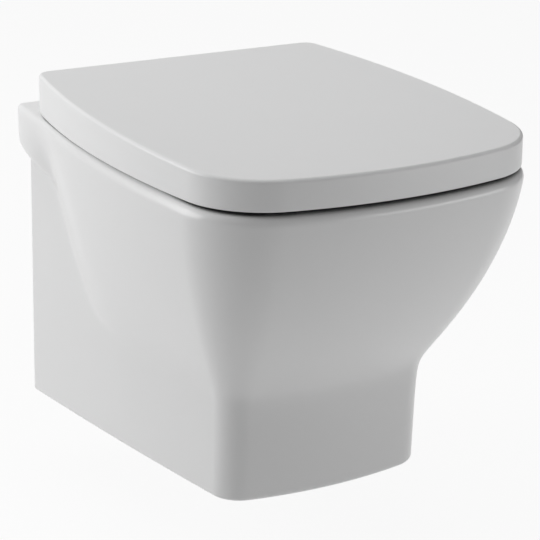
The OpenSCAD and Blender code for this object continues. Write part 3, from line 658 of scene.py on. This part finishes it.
def buildPan():
    f, bothSides = fittings, (-1, 1)
    webBack, bossFront = past - inside["webFront"], -inside["recessDeep"] - f["bossOver"]
    feedZ = pan["rimZ"] - inside["rimT"] - f["feedR"] - f["feedUnder"]
    under = underSpace()
    bowlTop, mouthBack = inside["rimT"] - f["bowlWallUp"], inside["mouthBack"]
    walls = [bowlSpace("bowlOuter", pan["wall"] + f["bowlWallMore"], pan["wall"], bowlTop),
             trapTube("trapOuter", inside["trapR"] + inside["trapT"], f["trapWallShort"]),
             barY("feedOuter", 0, feedZ, webBack, f["feedWallShort"] - mouthBack,
                  f["feedR"] + f["feedWall"]),
             barY("inletOuter", 0, f["inletZ"], webBack, -f["inletFront"] - f["inletWall"],
                  f["inletR"] + f["inletWall"])]
    combine(under, walls, "DIFFERENCE")
    body = panOutside()
    combine(body, [recessSpace(), under], "DIFFERENCE")
    bosses = [barY("boss", side * f["studHalf"], 0, 0, bossFront, f["studBossR"]) for side in bothSides]
    bosses += [barY("inletBoss", 0, f["inletZ"], -f["inletBossBack"], bossFront,
                    f["inletR"] + f["inletBossWall"]),
               barY("outlet", 0, f["outletZ"], -f["outletBack"], bossFront, f["outletR"])]
    combine(body, bosses, "UNION")
    basin = combine(bowlSpace("basin", 0, 0, inside["rimT"]), [flushingLip()], "DIFFERENCE")
    spaces = [basin, mouthSpace(), trapTube("trap", inside["trapR"], 0),
              barY("feed", 0, feedZ, past - f["inletFront"], f["feedShort"] - mouthBack, f["feedR"]),
              barY("inlet", 0, f["inletZ"], past, -f["inletFront"], f["inletR"]),
              barY("outletBore", 0, f["outletZ"], past, -f["outletBoreD"], f["outletBoreR"]),
              barY("outletNeck", 0, f["outletZ"], 0, -inside["outletStart"] - f["neckOver"],
                   inside["trapR"], 64)]
    studEnd = -inside["webFront"] - f["studHoleOver"]
    spaces += [barY("stud", side * f["studHalf"], 0, past, studEnd, f["studHoleR"]) for side in bothSides]
    spaces += [seatHole(side) for side in bothSides]
    combine(body, spaces, "DIFFERENCE")
    return finishPiece(body, "chinaPan", "pan", ["pan"], china)


panPiece = buildPan()
print("pan:", len(panPiece.data.polygons), "faces")


# Lid

lid = {
    "half": 180, "widestAt": 262, "sideR": 1080, "front": 482, "frontR": 484, "cornerR": 81,
    "cornerKeep": 0.7, "back": 46, "backCornerR": 14, "heelHigh": 14, "heelDeep": 24,
    "top": 127.5, "slope": 0.031, "skirtZ": 86.0, "wall": 5, "edgeR": 3.5,
    "slotIn": 42.1, "slotOut": 107.9, "slotDeep": 22, "counts": (16, 48, 36, 28),
    "ceilingRound": ((3, 0), (0.9, 0.9), (0, 3)), "innerRows": (18, 14, 11, 8, 5, 3),
    "lipInner": ((1, 0.3), (1.6, 0)), "lipOuter": ((1.2, 0), (0.4, 0.3)),
    "outerRows": (1.2, 3, 5, 7, 9, 11, 14, 18), "edgeRows": 8,
}
lidPlan = (lid["half"], lid["widestAt"], lid["sideR"], lid["front"], lid["frontR"], lid["cornerR"])


def lidTopAt(y):
    return lid["top"] + lid["slope"] * (y + lid["back"])


def heelIn(z):  # how far the rear edge is drawn in towards its lower end
    low = max(0, 1 - (z - lid["skirtZ"]) / lid["heelHigh"])
    return lid["heelDeep"] * quarterIn(1, 1 - low)


def lidRing(e, up, fromTop=False):
    back, backR = lid["back"] + e, lid["backCornerR"] - e * lid["cornerKeep"]
    half = halfOutline(insetPlan(lidPlan, e), back, backR, lid["counts"])
    made = []
    for x, y in fullRing(half):
        z = lidTopAt(y) - up if fromTop else lid["skirtZ"] + up
        made.append((x, min(y, -back - heelIn(z)), z))
    return made


def lidSlot(side):  # room for the hinge in the rear skirt
    back, ceiling = -lid["back"], lidTopAt(-lid["back"] - lid["wall"]) - lid["wall"]
    return block("slot", (side * lid["slotIn"], back - lid["slotDeep"], lid["skirtZ"] - past),
                 (side * lid["slotOut"], back + past, ceiling))


def buildLid():
    wall = lid["wall"]
    rings = [lidRing(wall + e, wall + down, fromTop=True) for e, down in lid["ceilingRound"]]
    rings += [lidRing(wall, up) for up in lid["innerRows"]]
    rings += [lidRing(wall - out, up) for out, up in lid["lipInner"]]
    rings += [lidRing(e, up) for e, up in lid["lipOuter"]]
    rings += [lidRing(0, up) for up in lid["outerRows"]]
    rings += [lidRing(e, down, fromTop=True) for e, down in roundedEdge(lid["edgeR"], lid["edgeRows"])]
    shell = skinRings("lidShell", rings)
    combine(shell, [lidSlot(side) for side in (-1, 1)], "DIFFERENCE")
    return finishPiece(shell, "lidCover", "lid", ["lid"], resinWhite)


lidPiece = buildLid()
print("lid:", len(lidPiece.data.polygons), "faces")


# Seat

seat = {
    "low": 89, "top": 106, "underLid": 8, "back": 84, "backCornerR": 30, "outR": 6, "inR": 9, "topRow": 20,
    "holeHalf": 113, "holeBack": 156, "holeBackR": 58, "holeFront": 410, "holeAhead": 16,
    "holeSideR": 560, "holeFrontR": 250, "holeCornerR": 78, "lowEdge": ((1.5, 0), (0.4, 0.4), (0, 1.5)),
    "knuckleIn": 45.1, "knuckleOut": 69.1, "plateLen": 40, "plateUp": 5.1, "plateGap": 0.2,
    "inDrop": 1, "edgeRows": 9, "counts": (16, 40, 32, 24),
}
seatPlan = insetPlan(lidPlan, seat["underLid"])
seatHolePlan = (seat["holeHalf"], lid["widestAt"] + seat["holeAhead"], seat["holeSideR"], seat["holeFront"],
                seat["holeFrontR"], seat["holeCornerR"])


def seatOut(e, z):
    half = halfOutline(insetPlan(seatPlan, e), seat["back"] + e, seat["backCornerR"], seat["counts"])
    return lifted(fullRing(half), z)


def seatIn(e, z):
    half = halfOutline(insetPlan(seatHolePlan, -e), seat["holeBack"] - e, seat["holeBackR"], seat["counts"])
    return lifted(fullRing(half), z)


def knucklePocket(side):  # where a knuckle's plate lies in the underside
    x1, x2 = seat["knuckleIn"] - seat["plateGap"], seat["knuckleOut"] + seat["plateGap"]
    y = -seat["back"] - seat["plateLen"] - seat["plateGap"]
    return block("pocket", (side * x1, y, seat["low"] - past),
                 (side * x2, 3 * past - seat["back"], seat["low"] + seat["plateUp"]))


def buildSeat():
    top, rows = seat["top"], seat["edgeRows"]
    lowEdge = [(e, seat["low"] + up) for e, up in seat["lowEdge"]]
    rings = [seatIn(*lowEdge[0])] + [seatOut(e, z) for e, z in lowEdge]
    rings += [seatOut(e, top - down) for e, down in roundedEdge(seat["outR"], rows)]
    rings += [seatOut(seat["topRow"], top)]
    innerEdge = reversed(roundedEdge(seat["inR"], rows))
    rings += [seatIn(e, top - seat["inDrop"] - down) for e, down in innerEdge]
    rings += [seatIn(e, z) for e, z in reversed(lowEdge[1:])]
    ring = skinRings("seatRing", rings, closed=True)
    combine(ring, [knucklePocket(side) for side in (-1, 1)], "DIFFERENCE")
    return finishPiece(ring, "seatCover", "seat", ["seat_ring"], resinWhite)


seatPiece = buildSeat()
print("seat:", len(seatPiece.data.polygons), "faces")


# Pads and screws, which repeat

class Shape(Graph):  # a geometry tree with named sizes in millimetres
    def __init__(self, name):
        self.tree = bpy.data.node_groups.new(name, "GeometryNodeTree")
        self.nodes, self.links, self.face = self.tree.nodes, self.tree.links, self.tree.interface
        self.entry = self.nodes.new("NodeGroupInput")
        self.face.new_socket("Geometry", in_out="OUTPUT", socket_type="NodeSocketGeometry")

    def size(self, name):
        self.face.new_socket(name, in_out="INPUT", socket_type="NodeSocketFloat")
        return Wire(self, self.entry.outputs[name]) * 0.001

    def vector(self, x, y, z):
        return self.node("ShaderNodeCombineXYZ", None, {0: x, 1: y, 2: z})

    def bar(self, sides, rows, radius, height):
        values = {"Vertices": sides, "Side Segments": rows, "Radius": radius, "Depth": height}
        return self.node("GeometryNodeMeshCylinder", None, values)

    def rounded(self, geometry, half, drawIn):  # draws both ends of an upright bar in
        place = self.node("GeometryNodeInputPosition")
        split = self.node("ShaderNodeSeparateXYZ", None, {0: place}, out="Z")
        share = 1 - (split / half).maths("ABSOLUTE") ** 6 * drawIn
        moved = self.node("ShaderNodeVectorMath", {"operation": "MULTIPLY"},
                          {0: place, 1: self.vector(share, share, 1.0)})
        return self.node("GeometryNodeSetPosition", None, {"Geometry": geometry, "Position": moved})

    def raised(self, geometry, z):
        values = {"Geometry": geometry, "Translation": self.vector(0.0, 0.0, z)}
        return self.node("GeometryNodeTransform", None, values)

    def pair(self, item, across, at, low):  # the item on both sides of the middle
        line = self.node("GeometryNodeMeshLine", None,
                         {"Count": 2, "Start Location": self.vector(across * -1, at, low),
                          "Offset": self.vector(across * 2, 0.0, 0.0)})
        return self.node("GeometryNodeInstanceOnPoints", None, {"Points": line, "Instance": item})

    def joined(self, *parts):
        return self.node("GeometryNodeJoinGeometry", None, {"Geometry": list(reversed(parts))})

    def piece(self, name, geometry, material, sizes, body, nodeName, slotName, sharpAngle=35):
        whole = self.node("GeometryNodeRealizeInstances", None, {"Geometry": geometry})
        faced = self.node("GeometryNodeSetMaterial", None, {"Geometry": whole, "Material": material})
        self.node("NodeGroupOutput", None, {0: faced})
        made = bpy.data.objects.new(name, bpy.data.meshes.new(name))
        bpy.context.scene.collection.objects.link(made)
        step = made.modifiers.new("shape", "NODES")
        step.node_group = self.tree
        for item in self.face.items_tree:
            if item.in_out == "INPUT":
                step[item.identifier] = float(sizes[item.name])
        bakeModifiers(made)
        made.data.shade_smooth()
        made.data.set_sharp_from_angle(angle=math.radians(sharpAngle))
        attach(made, body)
        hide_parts(nodeName)
        return made


seatPads = {"rearAcross": 150, "rearAt": -170, "rearHeight": 3.7, "frontAcross": 149, "frontAt": -380,
            "frontHeight": 3.7, "low": 85.3, "radius": 8}
lidPads = {"rearAcross": 150, "rearAt": -170, "rearHeight": 12.1, "frontAcross": 149, "frontAt": -380,
           "frontHeight": 5.59, "low": 106.3, "radius": 6}
padForm = {"sides": 48, "rows": 12, "drawIn": 0.1}


def buildPads(name, sizes, body, nodeName, slotName):  # four rubber pads with softly rounded rims
    g = Shape(name + "Shape")
    radius, low = g.size("radius"), g.size("low")
    pairs = []
    for row in ("rear", "front"):
        across, at, height = g.size(row + "Across"), g.size(row + "At"), g.size(row + "Height")
        bar = g.bar(padForm["sides"], padForm["rows"], radius, height)
        pad = g.raised(g.rounded(bar, height * 0.5, padForm["drawIn"]), height * 0.5)
        pairs.append(g.pair(pad, across, at, low))
    return g.piece(name, g.joined(*pairs), finishes["paleRubber"], sizes, body, nodeName, slotName)


seatScrews = {"across": 57.1, "rearAt": -96, "frontAt": -112, "low": 87, "headRadius": 3.6,
              "headHeight": 2, "shankRadius": 1.95, "shankLength": 14, "slotWidth": 0.9, "slotLength": 4.4}
lidScrews = {"across": 95.4, "rearAt": -69, "frontAt": -85, "low": 113.8, "headRadius": 3.2,
             "headHeight": 2, "shankRadius": 1.55, "shankLength": 8, "slotWidth": 0.8, "slotLength": 4.0}
screwForm = {"headSides": 40, "headRows": 10, "drawIn": 0.14, "shankSides": 24}


def buildScrews(name, sizes, body, nodeName, slotName):  # rounded heads below, with a cross recess
    g = Shape(name + "Shape")
    across, low = g.size("across"), g.size("low")
    headRadius, headHeight = g.size("headRadius"), g.size("headHeight")
    middle = headHeight * 0.5
    bar = g.bar(screwForm["headSides"], screwForm["headRows"], headRadius, headHeight)
    head = g.raised(g.rounded(bar, middle, screwForm["drawIn"]), middle)
    slotWidth, slotLength = g.size("slotWidth"), g.size("slotLength")
    for x, y in ((slotWidth, slotLength), (slotLength, slotWidth)):
        slot = g.node("GeometryNodeMeshCube", None, {"Size": g.vector(x, y, headHeight)})
        head = g.node("GeometryNodeMeshBoolean", {"operation": "DIFFERENCE", "solver": "EXACT"},
                      {"Mesh 1": head, "Mesh 2": slot})
    shankLength = g.size("shankLength")
    shank = g.bar(screwForm["shankSides"], 1, g.size("shankRadius"), shankLength)
    screw = g.joined(head, g.raised(shank, shankLength * 0.5 + middle))
    pairs = [g.pair(screw, across, g.size(row), low) for row in ("rearAt", "frontAt")]
    return g.piece(name, g.joined(*pairs), finishes["pinSteel"], sizes, body, nodeName, slotName)


buildPads("seatPads", seatPads, "seat", "seat_buffers", "clear_rubber")
buildPads("lidPads", lidPads, "lid", "lid_buffers", "clear_rubber")
buildScrews("seatScrews", seatScrews, "seat", "seat_knuckle_screws", "pin_steel")
buildScrews("lidScrews", lidScrews, "lid", "lid_knuckle_screws", "pin_steel")
print("pads and screws made")


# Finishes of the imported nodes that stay

nodeFinish = {
    "wall_sleeves": "sleevePlastic", "wall_washers": "zincSteel", "wall_nuts": "zincSteel",
    "hinge_base_left": "platedHinge", "hinge_base_right": "platedHinge",
    "hinge_pin_left": "pinSteel", "hinge_pin_right": "pinSteel", "seat_bolts": "pinSteel",
    "expanding_sleeves": "blackRubber", "cone_nuts": "sleevePlastic",
    "seat_knuckle_left": "knucklePlastic", "seat_knuckle_right": "knucklePlastic",
    "lid_knuckle_left": "knucklePlastic", "lid_knuckle_right": "knucklePlastic",
    "seat_damper": "damperPlastic", "lid_damper": "damperPlastic",
}
for nodeName, finishName in nodeFinish.items():
    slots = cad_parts[nodeName].data.materials
    if not slots:
        slots.append(finishes[finishName])
    for k in range(len(slots)):
        slots[k] = finishes[finishName]
print("packed nodes finished:", len(nodeFinish))


# Floor, light and camera, in metres

stage = {"floorZ": -0.315, "floorSize": 6.0, "wallY": 2.6, "wallHigh": 3.4, "colour": (0.85, 0.85, 0.85, 1),
         "floorGlow": 0.93, "backWallGlow": 1.0, "skyLight": 0.08, "white": (1, 1, 1, 1)}


def rayShare(g, *kinds):  # 1 for rays that look at the backdrop, 0 for those that light the object
    rays = [g.node("ShaderNodeLightPath", out="Is " + kind + " Ray") for kind in kinds]
    share = rays[0]
    for ray in rays[1:]:
        share = share.maths("MAXIMUM", ray)
    return share


def backdropFinish(name, glow):  # pale matt, shown as white, and clear to an eye behind it
    f = Finish(name)
    plain = f.node("ShaderNodeBsdfDiffuse", None, {"Color": stage["colour"]})
    white = f.node("ShaderNodeEmission", None, {"Color": stage["white"], "Strength": 1.0})
    looked = rayShare(f, "Camera", "Glossy", "Transmission") * glow
    front = f.node("ShaderNodeMixShader", None, {0: looked, 1: plain, 2: white})
    behind = rayShare(f, "Camera") * f.node("ShaderNodeNewGeometry", out="Backfacing")
    clear = f.node("ShaderNodeBsdfTransparent")
    shown = f.node("ShaderNodeMixShader", None, {0: behind, 1: front, 2: clear})
    f.node("ShaderNodeOutputMaterial", None, {"Surface": shown})
    f.material.cycles.emission_sampling = "NONE"
    return f.material


def buildBackdrop():  # a floor, and a wall well behind the object
    half, z, wallY, high = stage["floorSize"] / 2, stage["floorZ"], stage["wallY"], stage["wallHigh"]
    sheets = {"floor": [(-half, -half, z), (half, -half, z), (half, wallY, z), (-half, wallY, z)],
              "backWall": [(-half, wallY, high), (-half, wallY, z), (half, wallY, z), (half, wallY, high)]}
    for name, corners in sheets.items():
        mesh = bpy.data.meshes.new(name)
        mesh.from_pydata(corners, [], [(0, 1, 2, 3)])
        sheet = bpy.data.objects.new(name, mesh)
        bpy.context.scene.collection.objects.link(sheet)
        mesh.materials.append(backdropFinish(name + "Finish", stage[name + "Glow"]))


class Sky(Graph):
    def __init__(self, name):
        self.world = bpy.data.worlds.new(name)
        self.world.use_nodes = True
        self.nodes, self.links = self.world.node_tree.nodes, self.world.node_tree.links
        self.nodes.clear()


def buildWorld():
    g = Sky("studio")
    lit, seen = (g.node("ShaderNodeBackground", None, {"Color": stage["white"], "Strength": strength})
                 for strength in (stage["skyLight"], 1.0))
    both = g.node("ShaderNodeMixShader", None, {0: rayShare(g, "Camera"), 1: lit, 2: seen})
    g.node("ShaderNodeOutputWorld", None, {"Surface": both})
    bpy.context.scene.world = g.world


lamps = {
    "leftPanel": {"at": (-3.0, 1.62, 0.95), "size": (2.5, 2.2), "power": 65},
    "topPanel": {"at": (-0.3, -0.1, 2.1), "size": (2.4, 2.2), "power": 24},
    "frontPanel": {"at": (1.45, -2.0, -0.08), "size": (1.9, 0.44), "power": 11.3},
}
lampAim = Vector((0, -0.24, -0.05))


def buildLamps():
    for name, panel in lamps.items():
        data = bpy.data.lights.new(name, "AREA")
        data.shape = "RECTANGLE"
        data.size, data.size_y = panel["size"]
        data.energy = panel["power"]
        lamp = bpy.data.objects.new(name, data)
        bpy.context.scene.collection.objects.link(lamp)
        lamp.location = panel["at"]
        lamp.rotation_mode = "QUATERNION"
        lamp.rotation_quaternion = (lampAim - Vector(panel["at"])).to_track_quat("-Z", "Y")


camera = {"azimuth": -29.43, "elevation": 18.49, "roll": 0.334, "distance": 1.960,
          "target": (-0.00557, -0.25425, -0.0453), "lens": 133.33, "sensor": 36, "clip": (0.05, 20)}


def buildCamera():
    az, el, roll = (math.radians(camera[k]) for k in ("azimuth", "elevation", "roll"))
    back = Vector((math.sin(az) * math.cos(el), -math.cos(az) * math.cos(el), math.sin(el)))
    level = Vector((0, 0, 1)).cross(back).normalized()
    upright = back.cross(level)
    right = math.cos(roll) * level + math.sin(roll) * upright
    up = math.cos(roll) * upright - math.sin(roll) * level
    data = bpy.data.cameras.new("camera")
    data.lens, data.sensor_width, data.sensor_fit = camera["lens"], camera["sensor"], "HORIZONTAL"
    data.clip_start, data.clip_end = camera["clip"]
    eye = bpy.data.objects.new("camera", data)
    bpy.context.scene.collection.objects.link(eye)
    turn = Matrix((right, up, back)).transposed().to_4x4()
    eye.matrix_world = Matrix.Translation(Vector(camera["target"]) + back * camera["distance"]) @ turn
    bpy.context.scene.camera = eye


buildBackdrop()
buildWorld()
buildLamps()
buildCamera()
bpy.context.scene.view_settings.view_transform = "Standard"
print("floor, light and camera set")
